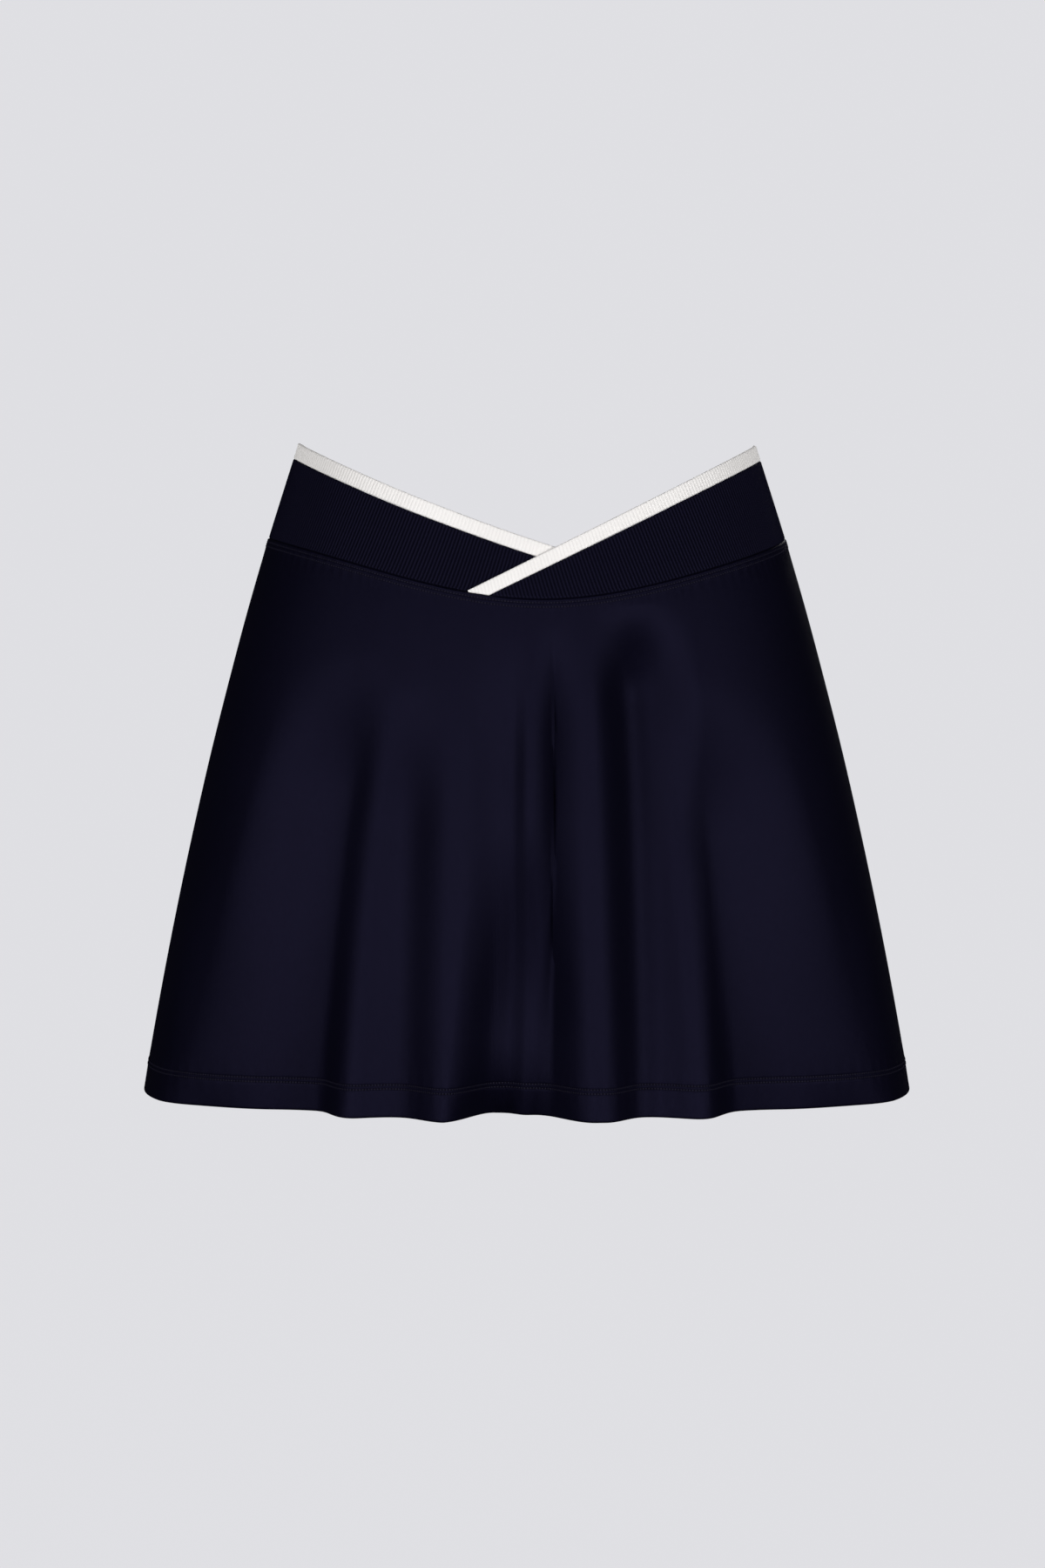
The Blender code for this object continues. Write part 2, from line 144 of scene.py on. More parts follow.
# Ribs
RIB_PITCH = 0.0020
RIB_DEPTH = 0.00055
TIP_RIB_DEPTH = 0.00018
RIB_LEAN = tan(radians(20.0))
COLUMNS_PER_RIB = 6
GROOVE_SHARPNESS = 1.6

# Edges that roll in at the seams, and the ridge of the seam allowance under the waist seam: where
# it ends, how high it is, and how fast it rises and falls
ROLL_HEIGHT = 0.0008
ROLL_DEPTH = 0.0005
ALLOWANCE_HEIGHT = 0.0057
ALLOWANCE_RISE = 0.00030
ALLOWANCE_START = 0.001
ALLOWANCE_END = 0.0012

# Sewn rows, down from the waist seam or up from the hem, and the channels they pull into the cloth
WAIST_ROWS = (0.0021, 0.0044)
HEM_ROWS = (0.0153, 0.0175)
CHANNEL_DEPTH = 0.00030
CHANNEL_REACH = 0.0006
# How much shade is painted into the sewn channels' colour
CHANNEL_PAINTED_SHADE = 0.6
SEWING_END = 89.6

# Puckers: waves along the rows, whose spacing drifts, and how far they reach from the sewing
PUCKER_DEPTH = 0.00015
PUCKER_LENGTH = 0.0083
PUCKER_DRIFT = 2.5
PUCKER_DRIFT_RATE = 31
PUCKER_BELOW_SEAM = 0.0035
PUCKER_REACH_AT_SEAM = 0.006
PUCKER_REACH_AT_HEM = 0.007

# Stitches. Their half width, the lift of their middle and how far the whole sinks are in radii.
# STITCH_TAPER is how much the ends thin, where 1 would be a point. The length's outer part, past
# STITCH_PAINTED_SHADE_FROM of half a stitch from the middle, has shade painted into its colour.
STITCH_PITCH = 0.00165
STITCH_LENGTH = 0.00155
STITCH_RADIUS = 0.00027
STITCH_WIDTH = 1.8
STITCH_LIFT = 1.6
STITCH_SINK = 1.0
STITCH_TAPER = 0.94
STITCH_PAINTED_SHADE_FROM = 0.45
STITCH_SIDES = 6
STITCH_SECTIONS = 7

# Rows of the skirt's mesh. Below the waist seam and above the hem they keep their distance from it,
# and close to the sewing they lie close together. The turned layer of the hem thins out at its top.
SKIRT_TOP_ZONE = 0.010
ROWS_BELOW_SEAM = (
    0.0, 0.0003, 0.0006, 0.0009, 0.0013, 0.0017, 0.0021, 0.0025, 0.0030,
    0.0035, 0.0040, 0.0044, 0.0048, 0.0053, 0.0059, 0.0068, 0.0080, 0.0090,
)
ROWS_BETWEEN = 62
HEM_ZONE = 0.024
ROWS_ABOVE_HEM = (
    0.0240, 0.0222, 0.0206, 0.0195, 0.0189, 0.0186, 0.0183, 0.0179, 0.0175, 0.0171, 0.0164, 0.0157,
    0.0153, 0.0149, 0.0143, 0.0134, 0.0120, 0.0100, 0.0080, 0.0060, 0.0043, 0.0030, 0.0020,
)
TURNED_LAYER_TOP = 0.0189
TURNED_LAYER_EDGE = 0.0006
HEM_ROUND_STEPS = 4
FRONT_COLUMNS = 330
BACK_COLUMNS = 300

# Rows of the bands' and tips' meshes: the radius of their round ends, and rows beside those, with
# the tips' as shares of the way down. A round end closes up to ROUND_END_LIMIT of the wall. In a
# piece lower than SHORT_PIECE the rounding shrinks with it. Past SHARP_EDGE degrees an edge is sharp.
BAND_TOP_ROUND = 0.0006
BAND_TOP_ROW = 0.0008
BAND_ROWS_ABOVE_SEAM = (0.0012, 0.0007, 0.0003, 0.0)
FRONT_BAND_ROWS = 20
BACK_BAND_ROWS = 16
TIP_ROWS = (0.25, 0.42, 0.58, 0.74, 0.86)
TIP_FOOT_ROW = 0.0005
TIP_FOOT_ROUND = 0.0004
ROUND_END_LIMIT = 0.999
SHORT_PIECE = 0.004
SHARP_EDGE = 55.0

# The shorts' legs. Between them their edges pass the middle by CROTCH_LAP.
SHORTS_DROP = 0.040
CROTCH_FRONT_AND_BACK = -0.205
CROTCH_LOWEST = -0.245
CROTCH_LAP = 0.0008
LEG_CENTRE = 0.0835
LEG_TWIST = 45.0
LEG_RINGS = (
    Level(-0.256, 0.0800, 0.100, 0.112),
    Level(-0.284, 0.0792, 0.098, 0.108),
    Level(-0.310, 0.0785, 0.097, 0.105),
)

# Steps for a surface's slope, and for places found by coming nearer from a first guess
EDGE_GUESS = -0.030
ANGLE_STEP = 0.1
HEIGHT_STEP = 0.0005
FINE_STEPS = 6000
TRIES = 24

# The photograph's view
CAMERA_DISTANCE = 2.5
CAMERA_HEIGHT = -0.008
CAMERA_SIDE = -0.0024
CAMERA_PITCH = 3.55
CAMERA_LENS = 102.4
CAMERA_FILM = 36.0
CAMERA_REACH = 50.0

# The studio: a pale bowl that every view's camera stands inside
FLOOR_HEIGHT = -1.75
STUDIO_RADIUS = 4.6
COVE_RADIUS = 1.2
COVE_STEPS = 12
WALL_TOP = 5.0
STUDIO_SIDES = 96
STUDIO_COLOUR = (0.735, 0.735, 0.765)
STUDIO_MOTTLE = 0.985
STUDIO_MOTTLE_SCALE = 0.5
STUDIO_DIFFUSE = 0.06
WORLD_COLOUR = (0.95, 0.96, 1.0)
WORLD_STRENGTH = 0.015

# Lamps: disks that face the garment, each with its size across and its watts. The open lamps light
# everything, the back's keys only the back and the tips, and the inside fill only the shorts.
LAMP_AIM = (0.0, 0.0, -0.15)
Lamp = namedtuple("Lamp", "name place size power")
OPEN_LAMPS = (
    Lamp("key_left", (-2.4, -2.45, 0.10), 0.9, 56.0),
    Lamp("key_right", (2.5, -2.4, 0.10), 0.9, 60.0),
    Lamp("key_front", (-0.1, -3.4, 0.10), 0.9, 45.0),
    Lamp("back_fill", (0.6, 3.4, 1.2), 1.8, 28.0),
)
BACK_KEYS = (
    Lamp("back_key_left", (2.2, 2.6, 0.10), 0.9, 22.0),
    Lamp("back_key_right", (-2.2, 2.6, 0.10), 0.9, 26.0),
    Lamp("back_key_middle", (0.1, 3.4, 0.10), 0.9, 24.0),
)
INSIDE_FILL = Lamp("inside_fill", (0.0, 0.0, 2.9), 1.5, 400.0)


# Form


def blend(first, second, share):
    return first + (second - first) * share


def ease(share):
    share = np.clip(share, 0.0, 1.0)
    return share * share * (3 - 2 * share)


def hump(distance, reach):
    """1 at no distance, falling smoothly to next to nothing at about twice the reach."""
    return np.exp(-((distance / reach) ** 2))


def sizes_at(levels, height):
    """Half width, front depth and back depth at heights, on a smooth curve through the levels."""
    table = np.array(levels)
    heights, sizes = table[:, 0], table[:, 1:]
    last = len(table) - 1
    below = np.clip(np.arange(last + 1) - 1, 0, last)
    above = np.clip(np.arange(last + 1) + 1, 0, last)
    slopes = (sizes[above] - sizes[below]) / (heights[above] - heights[below])[:, None]
    height = np.clip(height, heights[0], heights[-1])
    low = np.clip(np.searchsorted(heights, height, side="right") - 1, 0, last - 1)
    step = (heights[low + 1] - heights[low])[..., None]
    t = (height - heights[low])[..., None] / step
    value = sizes[low] * (1 + 2 * t) * (1 - t) ** 2 + sizes[low + 1] * t * t * (3 - 2 * t)
    value += step * (slopes[low] * t * (1 - t) ** 2 + slopes[low + 1] * t * t * (t - 1))
    return np.moveaxis(value, -1, 0)


def form(levels, angle, height):
    """Points of a form at angles and heights."""
    half_width, front_depth, back_depth = sizes_at(levels, height)
    across, ahead = np.sin(np.radians(angle)), np.cos(np.radians(angle))
    depth = np.where(ahead > 0, front_depth, back_depth)
    spread = (np.abs(across) / half_width) ** SECTION_POWER
    spread = spread + (np.abs(ahead) / depth) ** SECTION_POWER
    radius = spread ** (-1 / SECTION_POWER)
    return np.stack((radius * across, -radius * ahead, height + 0 * radius), -1)


def moved_in(levels, angle, height, inset):
    """Points of a form, moved in square to its level section."""
    along = form(levels, angle + ANGLE_STEP, height) - form(levels, angle - ANGLE_STEP, height)
    inward = np.stack((-along[..., 1], along[..., 0], 0 * along[..., 2]), -1)
    inward /= np.linalg.norm(inward, axis=-1, keepdims=True)
    return form(levels, angle, height) + inward * np.asarray(inset)[..., None]


def fold_depth(folds, angle, height):
    """How far in the folds push the skirt at angles and heights."""
    total = 0.0 * angle * height
    for fold in folds:
        down = np.clip((fold.top_height - height) / (fold.top_height - HEM), 0.0, 1.0)
        off = angle - blend(fold.top_angle, fold.hem_angle, down)
        left = blend(fold.left_top, fold.left_hem, down)
        right = blend(fold.right_top, fold.right_hem, down)
        off = np.clip(np.abs(off) / np.where(off < 0, left, right), 0.0, 1.0)
        trough = blend(0.5 + 0.5 * np.cos(pi * off), (1 - off) ** 2, fold.crease)
        start = ease((fold.top_height - height) / (fold.top_height - fold.full_height))
        below = np.clip((fold.full_height - height) / (fold.full_height - HEM), 0.0, 1.0)
        total += start * blend(fold.depth, fold.hem_depth, below**2) * trough
    return total


def skirt_surface(folds):
    def surface(angle, height):
        return moved_in(GARMENT_LEVELS, angle, height, fold_depth(folds, angle, height))

    return surface


def flush(angle, height):
    return form(GARMENT_LEVELS, angle, height)


def behind_the_other(angle, height):
    """The under band's surface, which turns in behind the over band."""
    dive = DIVE_DEPTH * ease((angle - DIVE_START) / (DIVE_END - DIVE_START))
    return moved_in(GARMENT_LEVELS, angle, height, dive + 0 * height)


def under_surface(surface, angle, height, depth):
    """Points at a depth under a surface, square to it."""
    along = surface(angle + ANGLE_STEP, height) - surface(angle - ANGLE_STEP, height)
    up = surface(angle, height + HEIGHT_STEP) - surface(angle, height - HEIGHT_STEP)
    inward = np.cross(up, along)
    inward /= np.linalg.norm(inward, axis=-1, keepdims=True)
    return surface(angle, height) + inward * depth[..., None]


# Lines


def seam_height(angle):
    """The waist seam, which dips at the front and the back and is lowest a little to one side."""
    dip = np.where(np.cos(np.radians(angle)) > 0, FRONT_SEAM_DIP, BACK_SEAM_DIP)
    return SIDE_SEAM_TOP - dip * np.cos(np.radians(angle - SEAM_LOWEST_AT)) ** 2


def edge_height(angle, line):
    """The height at an angle of an edge whose height is a line of its own x."""
    height = EDGE_GUESS + 0.0 * angle
    for _ in range(TRIES):
        height = line(form(GARMENT_LEVELS, angle, height)[..., 0])
    return height


def over_edge(angle):
    return edge_height(angle, lambda x: OVER_EDGE_CENTRE + OVER_EDGE_RISE * x)


def under_edge(angle):
    return edge_height(
        angle, lambda x: UNDER_EDGE_CENTRE + UNDER_EDGE_RISE * x + UNDER_EDGE_BEND * x * x
    )


def back_edge(angle):
    dip = BACK_EDGE_DIP * np.cos(np.radians(angle)) ** 2
    return BACK_EDGE_SIDE + BACK_EDGE_TILT * np.sin(np.radians(angle)) - dip


def meeting_angle(edge, lift, outer_angle):
    """Where an edge, lifted so far, comes down to the waist seam, between 0 and an outer angle."""
    above, below = 0.0, outer_angle
    for _ in range(TRIES):
        middle = np.array((above + below) / 2)
        if edge(middle) + lift - seam_height(middle) > GAP + THIN_END:
            above = float(middle)
        else:
            below = float(middle)
    return above


def lengths_along(points):
    """How far along a line of points each one is."""
    steps = np.linalg.norm(np.diff(points, axis=0), axis=1)
    return np.concatenate(([0.0], np.cumsum(steps)))


def even_angles(surface, line, first, last, pitch, multiple=1):
    """Angles a pitch apart along a line on a surface, a whole number of multiples, and the places."""
    fine = np.linspace(first, last, FINE_STEPS)
    along = lengths_along(surface(fine, line(fine)))
    count = multiple * max(1, round(along[-1] / pitch / multiple))
    places = np.linspace(0.0, along[-1], count + 1)
    return np.interp(places, along, fine), places


def leaning_top(angle, bottom, top_line, lean):
    """Angles and heights where ribs that start at a bottom line reach a top line."""
    turn = lean * np.cos(np.radians(angle)) / GARMENT_LEVELS[-2].half_width * 180 / pi
    rise = 0.0 * angle
    for _ in range(TRIES):
        rise = np.maximum(top_line(angle + turn * rise) - bottom, THIN_END)
    return angle + turn * rise, bottom + rise


# Meshes

Row = namedtuple("Row", "share offset outside inside")
Columns = namedtuple("Columns", "top_angle top_height bottom_angle bottom_height place")


def make_piece(name, points, faces, weave, material):
    """A mesh object with each point's place in the cloth: along, up, and its share of a groove, which
    sets its painted shade.
    """
    mesh = bpy.data.meshes.new(name)
    mesh.from_pydata(points.tolist(), [], faces.tolist())
    stored = mesh.attributes.new("weave", "FLOAT_VECTOR", "POINT")
    stored.data.foreach_set("vector", np.ascontiguousarray(weave, dtype=np.float32).ravel())
    mesh.shade_smooth()
    mesh.set_sharp_from_angle(angle=radians(SHARP_EDGE))
    piece = bpy.data.objects.new(name, mesh)
    bpy.context.scene.collection.objects.link(piece)
    mesh.materials.append(material)
    return piece


def cloth_piece(name, surface, columns, rows, relief, material):
    """A closed wall of cloth between a top and a bottom line.

    Each row is a share of the way down, an offset up, and depths of its outside and its inside.
    relief gives the further depth of both, and each outside point's share of a groove, which sets its
    painted shade.
    """
    share, offset, outside, inside = (np.array(rows)[:, k, None] for k in range(4))
    squeeze = np.clip((columns.top_height - columns.bottom_height) / SHORT_PIECE, 0.0, 1.0)
    angle = blend(columns.top_angle, columns.bottom_angle, share)
    height = blend(columns.top_height, columns.bottom_height, share) + offset * squeeze
    more_outside, more_inside, groove = relief(angle, height)
    middle = (outside + inside) / 2
    outer_depth = blend(middle, outside, squeeze) + more_outside
    inner_depth = blend(middle, inside, squeeze) + more_inside
    outer = under_surface(surface, angle, height, outer_depth)
    inner = under_surface(surface, angle, height, inner_depth)
    points = np.concatenate((outer, inner[::-1]))
    place = columns.place + 0 * height
    weave = np.stack((place, height, groove + 0 * height), -1)
    weave = np.concatenate((weave, weave[::-1]))
    round_count, column_count = points.shape[:2]
    index = np.arange(round_count * column_count).reshape(round_count, column_count)
    below = np.roll(index, -1, axis=0)
    walls = np.stack((index[:, :-1], below[:, :-1], below[:, 1:], index[:, 1:]), -1)
    half = round_count // 2
    out, back = index[:half], index[half:][::-1]
    first = np.stack((out[:-1, 0], back[:-1, 0], back[1:, 0], out[1:, 0]), -1)
    last = np.stack((out[:-1, -1], out[1:, -1], back[1:, -1], back[:-1, -1]), -1)
    faces = np.concatenate((walls.reshape(-1, 4), first, last))
    return make_piece(name, points.reshape(-1, 3), faces, weave.reshape(-1, 3), material)


def rounded_end(share, radius, wall, steps, turned_up):
    """Rows that close a wall's edge with a round end, at its top (turned_up) or its bottom."""
    rows = []
    for i in range(steps):
        turn = pi / 2 * (i + 1) / (steps + 0.5)
        drop = radius * (1 - cos(turn))
        reach = min(wall / 2 * ROUND_END_LIMIT, drop * wall / 2 / radius)
        short_of_edge = radius - radius * sin(turn)
        rows.append(Row(share, -short_of_edge if turned_up else short_of_edge, reach, wall - reach))
    return rows[::-1] if turned_up else rows


# Skirt


def skirt_rows():
    """Rows from the waist seam down to the folded hem, close together where the cloth is sewn."""
    rows = [Row(0.0, SKIRT_TOP_ZONE - below, 0.0, SKIRT_WALL) for below in ROWS_BELOW_SEAM]
    rows += [Row(i / ROWS_BETWEEN, 0.0, 0.0, SKIRT_WALL) for i in range(ROWS_BETWEEN)]
    for height in (*ROWS_ABOVE_HEM, SKIRT_WALL):
        turned_layer = SKIRT_WALL * float(ease((TURNED_LAYER_TOP - height) / TURNED_LAYER_EDGE))
        rows.append(Row(1.0, height - HEM_ZONE, 0.0, SKIRT_WALL + turned_layer))
    for row in rounded_end(1.0, SKIRT_WALL, 2 * SKIRT_WALL, HEM_ROUND_STEPS, False):
        rows.append(row._replace(offset=row.offset - HEM_ZONE))
    return rows


def skirt_panel(name, node, centre, column_count, folds, material):
    """A panel of the skirt from side seam to side seam, round the angle of its centre."""
    surface = skirt_surface(folds)
    half_turn = 90.0 + SIDE_LAP / GARMENT_LEVELS[-2].half_width * 180 / pi
    angles = centre + np.linspace(-half_turn, half_turn, column_count)
    top = seam_height(angles) - SEAM_GAP / 2
    place = lengths_along(surface(angles, HEM + 0 * angles))
    columns = Columns(angles, top - SKIRT_TOP_ZONE, angles, HEM + HEM_ZONE + 0 * top, place)

    def relief(angle, height):
        below = seam_height(angle) - SEAM_GAP / 2 - height
        above = height - HEM
        rolled = ROLL_DEPTH * np.clip(1 - below / ROLL_HEIGHT, 0.0, 1.0) ** 2
        side = np.radians(half_turn - np.abs(angle - centre)) * GARMENT_LEVELS[-3].half_width
        rolled = rolled + ROLL_DEPTH * np.clip(1 - side / ROLL_HEIGHT, 0.0, 1.0) ** 2
        raised = ALLOWANCE_RISE * ease(below / ALLOWANCE_START)
        raised = raised * ease((ALLOWANCE_HEIGHT - below) / ALLOWANCE_END)
        sewn = sum(hump(below - row, CHANNEL_REACH) for row in WAIST_ROWS)
        sewn = sewn + sum(hump(above - row, CHANNEL_REACH) for row in HEM_ROWS)
        along = columns.place + 0 * height
        drift = PUCKER_DRIFT * np.sin(along * PUCKER_DRIFT_RATE)
        waves = np.sin(2 * pi * along / PUCKER_LENGTH + drift)
        near_sewing = hump(above - sum(HEM_ROWS) / 2, PUCKER_REACH_AT_HEM)
        near_sewing = near_sewing + hump(below - PUCKER_BELOW_SEAM, PUCKER_REACH_AT_SEAM)
        pucker = PUCKER_DEPTH * waves * near_sewing
        outside = rolled - raised + CHANNEL_DEPTH * sewn + pucker
        # The third value is the shade painted into the sewn channels
        return outside, pucker, CHANNEL_PAINTED_SHADE * np.clip(sewn, 0.0, 1.0)

    piece = cloth_piece(name, surface, columns, skirt_rows(), relief, material)
    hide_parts(node)
    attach(piece, "root")
    return piece


# Waistband


def rib_groove(places, pitch):
    """1 along the bottom of each groove between ribs, and 0 on a rib's crest. It also sets the shade
    painted into the grooves.
    """
    return (0.5 + 0.5 * np.cos(2 * pi * places / pitch)) ** GROOVE_SHARPNESS


def band_piece(name, node, surface, first, last, edge, lean, row_count, material):
    """A band of ribbed knit from the waist seam up to its tip."""
    column_pitch = RIB_PITCH / COLUMNS_PER_RIB
    foot, place = even_angles(flush, seam_height, first, last, column_pitch, COLUMNS_PER_RIB)
    bottom = seam_height(foot) + SEAM_GAP / 2
    top_angle, top = leaning_top(foot, bottom, lambda a: edge(a) - SEAM_GAP / 2, lean)
    columns = Columns(top_angle, top, foot, bottom, place)
    rows = rounded_end(0.0, BAND_TOP_ROUND, BAND_WALL, 2, True)
    rows += [Row(0.0, -BAND_TOP_ROW, 0.0, BAND_WALL)]
    rows += [Row(i / row_count, 0.0, 0.0, BAND_WALL) for i in range(1, row_count)]
    rows += [Row(1.0, height, 0.0, BAND_WALL) for height in BAND_ROWS_ABOVE_SEAM]
    groove = rib_groove(place, place[COLUMNS_PER_RIB])

    def relief(angle, height):
        above = height - seam_height(angle)
        rolled = ROLL_DEPTH * np.clip(1 - above / ROLL_HEIGHT, 0.0, 1.0) ** 2
        # The groove share is also painted into the knit's colour as shade
        return RIB_DEPTH * groove + rolled, -RIB_DEPTH * groove, groove

    piece = cloth_piece(name, surface, columns, rows, relief, material)
    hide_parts(node)
    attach(piece, "root")
    return piece


def tip_piece(name, node, surface, first, last, edge, lean, material):
    """The off-white strip along a band's top edge, cut off along the waist seam where they meet."""

    def low_line(angle):
        return np.maximum(edge(angle), seam_height(angle)) + SEAM_GAP / 2

    column_pitch = RIB_PITCH / COLUMNS_PER_RIB
    foot, place = even_angles(flush, low_line, first, last, column_pitch, COLUMNS_PER_RIB)
    bottom = low_line(foot)
    top_angle, top = leaning_top(foot, bottom, lambda a: edge(a) + TIP_HEIGHT, lean)
    columns = Columns(top_angle, top, foot, bottom, place)
    radius = BAND_WALL / 2
    rows = rounded_end(0.0, radius, BAND_WALL, 4, True)
    rows += [Row(0.0, -radius, 0.0, BAND_WALL)]
    rows += [Row(share, 0.0, 0.0, BAND_WALL) for share in TIP_ROWS]
    rows += [Row(1.0, TIP_FOOT_ROW, 0.0, BAND_WALL)]
    rows += rounded_end(1.0, TIP_FOOT_ROUND, BAND_WALL, 1, False)
    groove = rib_groove(place, place[COLUMNS_PER_RIB])

    def relief(angle, height):
        # The groove share is also painted into the tip's colour as shade
        return TIP_RIB_DEPTH * groove, -TIP_RIB_DEPTH * groove, groove

    piece = cloth_piece(name, surface, columns, rows, relief, material)
    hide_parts(node)
    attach(piece, "root")
    return piece


# Shorts


def leg_point(share_round, ring):
    """A point of the +X leg's ring: shares 0 to 1 run round its outside, and 1 to 2 its thigh side."""
    outside = 180.0 + 2 * LEG_TWIST
    if share_round <= 1:
        turn = -LEG_TWIST + outside * share_round
    else:
        turn = 180 + LEG_TWIST + (360 - outside) * (share_round - 1)
    x, y, z = form((ring, ring._replace(height=ring.height + 1)), np.array(turn), ring.height)
    return np.array((LEG_CENTRE + x, y, z))


def shorts_rings():
    """The rings of the +X leg, from the waist down."""
    outer_count, thigh_count, row_count = 26, 8, 5
    outer = [i / outer_count for i in range(outer_count + 1)]
    thigh = [1 + i / thigh_count for i in range(1, thigh_count)]
    angle = 180.0 * np.array(outer)
    top = seam_height(angle) - GAP
    rings = []
    for row in range(row_count + 1):
        height = blend(top, CROTCH_FRONT_AND_BACK, row / row_count)
        seam_side = moved_in(GARMENT_LEVELS, angle, height, SKIRT_WALL + GAP + 0 * height)
        hip_side = form(SHORTS_LEVELS, angle, height)
        share = ease((seam_height(angle) - height) / SHORTS_DROP)[:, None]
        points = blend(seam_side, hip_side, share)
        points[:, 0] = np.maximum(points[:, 0], -SIDE_LAP)
        rings.append(points)
    front, back = rings[-1][0], rings[-1][-1]
    between = []
    for share in thigh:
        along = share - 1
        point = blend(back, front, along)
        point[0] = -CROTCH_LAP
        point[2] = blend(CROTCH_LOWEST, point[2], (2 * along - 1) ** 2)
        between.append(point)
    rings[-1] = np.concatenate((rings[-1], between))
    for ring in LEG_RINGS:
        rings.append(np.array([leg_point(share, ring) for share in outer + thigh]))
    return rings


def shorts_leg(name, node, side, material):
    """One leg of the shorts, on the side of +X (1) or -X (-1)."""
    rings = shorts_rings()
    starts = np.cumsum([0] + [len(ring) for ring in rings])
    points = np.concatenate(rings) * (side, 1, 1)
    faces = []
    for row, (upper, lower) in enumerate(zip(rings, rings[1:])):
        closed = len(upper) == len(lower) and len(upper) > len(rings[0])
        count = len(upper)
        for i in range(count if closed else count - 1):
            j = (i + 1) % count
            corners = (starts[row] + i, starts[row + 1] + i, starts[row + 1] + j, starts[row] + j)
            faces.append(corners if side > 0 else corners[::-1])
    weave = np.zeros_like(points)
    weave[:, 0] = points[:, 0] + points[:, 1]
    weave[:, 1] = points[:, 2]
    piece = make_piece(name, points, np.array(faces), weave, material)
    smooth = piece.modifiers.new("smooth", "SUBSURF")
    smooth.levels = smooth.render_levels = 2
    wall = piece.modifiers.new("wall", "SOLIDIFY")
    wall.thickness = SHORTS_WALL
    wall.offset = -1
    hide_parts(node)
    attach(piece, "root")
    return piece


# Sewing


def one_stitch():
    """A stitch's points ahead, beside and out of the cloth, their painted shade, and its faces."""
    along = np.repeat(np.linspace(-1, 1, STITCH_SECTIONS), STITCH_SIDES)
    turn = np.tile(np.linspace(0, 2 * pi, STITCH_SIDES, endpoint=False), STITCH_SECTIONS)
    size = np.sqrt(1 - (STITCH_TAPER * along) ** 2)
    ahead = along * STITCH_LENGTH / 2
    beside = STITCH_RADIUS * STITCH_WIDTH * size * np.cos(turn)
    risen = STITCH_RADIUS * (size * np.sin(turn) + STITCH_LIFT * size - STITCH_SINK)
    # Painted shade on the stitch's ends
    painted_shade = (np.abs(along) > STITCH_PAINTED_SHADE_FROM).astype(float)
    faces = []
    for section in range(STITCH_SECTIONS - 1):
        start, after = section * STITCH_SIDES, (section + 1) * STITCH_SIDES
        for i in range(STITCH_SIDES):
            j = (i + 1) % STITCH_SIDES
            faces.append((start + i, start + j, after + j, after + i))
    far = (STITCH_SECTIONS - 1) * STITCH_SIDES
    faces += [(0, 3, 2, 1), (0, 5, 4, 3)]
    faces += [(far, far + 1, far + 2, far + 3), (far, far + 3, far + 4, far + 5)]
    return ahead, beside, risen, painted_shade, np.array(faces)


def stitches(name, surface, lines, first, last, material):
    """Rows of short threads lying on a surface, each sunk at its ends, with shade painted on them."""
    ahead_of, beside, risen, painted_shade, faces = one_stitch()
    centres, aheads, outs = [], [], []
    for line in lines:
        angles, _ = even_angles(surface, line, first, last, STITCH_PITCH)
        middles = (angles[1:] + angles[:-1]) / 2
        centre = surface(middles, line(middles))
        ahead = surface(middles + ANGLE_STEP, line(middles + ANGLE_STEP)) - centre
        up = surface(middles, line(middles) + HEIGHT_STEP) - centre
        ahead /= np.linalg.norm(ahead, axis=-1, keepdims=True)
        out = np.cross(ahead, up)
        centres.append(centre)
        aheads.append(ahead)
        outs.append(out / np.linalg.norm(out, axis=-1, keepdims=True))
    centre, ahead, out = (np.concatenate(parts)[:, None] for parts in (centres, aheads, outs))
    across = np.cross(out, ahead)
    points = centre + ahead_of[:, None] * ahead + beside[:, None] * across + risen[:, None] * out
    starts = points.shape[1] * np.arange(len(points))[:, None, None]
    all_faces = (starts + faces).reshape(-1, 4)
    places = STITCH_PITCH * np.arange(len(points))[:, None] + ahead_of
    weave = np.stack((places, beside + 0 * places, painted_shade + 0 * places), -1)
    piece = make_piece(name, points.reshape(-1, 3), all_faces, weave.reshape(-1, 3), material)
    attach(piece, "root")
    return piece


def below_seam(distance):
    return lambda angle: seam_height(angle) - SEAM_GAP / 2 - distance


def above_hem(distance):
    return lambda angle: HEM + distance + 0 * angle


# Materials


